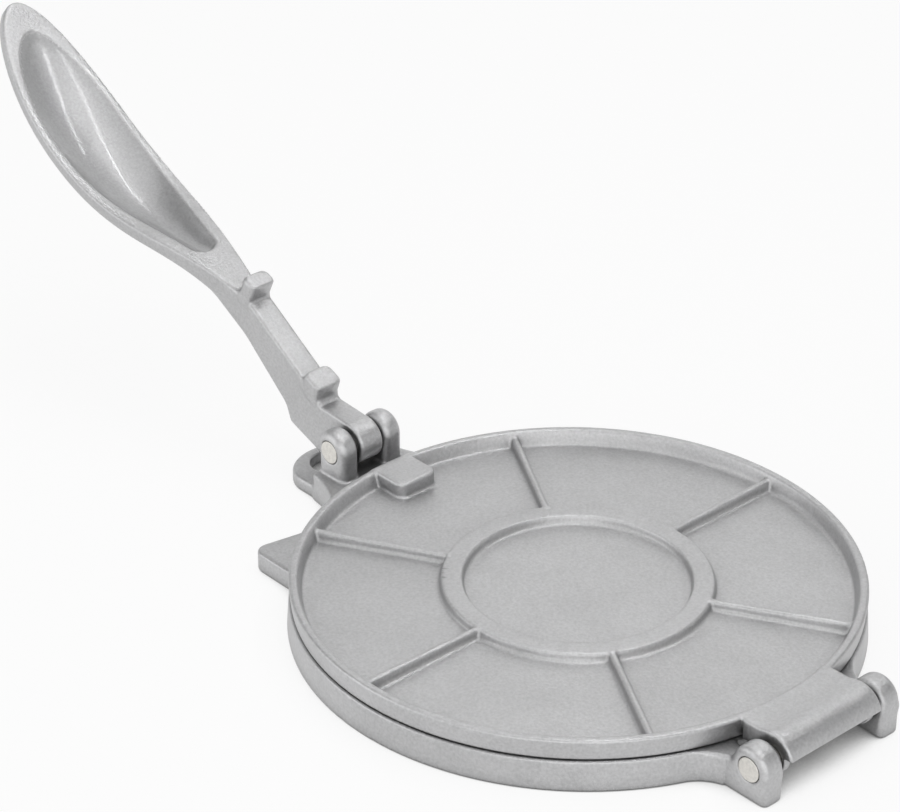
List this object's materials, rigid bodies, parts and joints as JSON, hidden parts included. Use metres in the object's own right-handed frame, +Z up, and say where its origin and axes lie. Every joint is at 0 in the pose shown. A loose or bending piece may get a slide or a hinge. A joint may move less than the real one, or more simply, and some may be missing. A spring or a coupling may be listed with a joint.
{
  "type": "tortilla press",
  "caption": "Hand press with a round base plate, a hinged ribbed top plate and a pivoted lever with a wide scooped grip that presses the top plate down.",
  "frame": {"origin": "centre of the platens, on the surface that the base stands on", "axes": "+X towards the lever's end, -X towards the hinge, +Z up, hinge and lever pins along Y"},
  "size_m": [0.4554, 0.2056, 0.1339],
  "materials": {
    "base_casting": "satin as-cast",
    "top_casting": "satin as-cast",
    "lever_casting": "satin as-cast",
    "pins": "cut ends, light machining marks"
  },
  "bodies": {
    "base": {"base_platen": "base_casting", "hinge_pin": "pins", "lever_pin": "pins"},
    "lid": {"top_platen": "top_casting"},
    "lever": {"lever": "lever_casting"}
  },
  "joints": [
    {"name": "lid_hinge", "type": "hinge", "parent": "base", "child": "lid", "pos_m": [-0.1132, 0, 0.0113], "axis": [0, -1, 0], "range_deg": [0, 180]},
    {"name": "lever_pivot", "type": "hinge", "parent": "base", "child": "lever", "pos_m": [0.1184, 0, 0.0218], "axis": [0, -1, 0], "range_deg": [0, 138]}
  ]
}
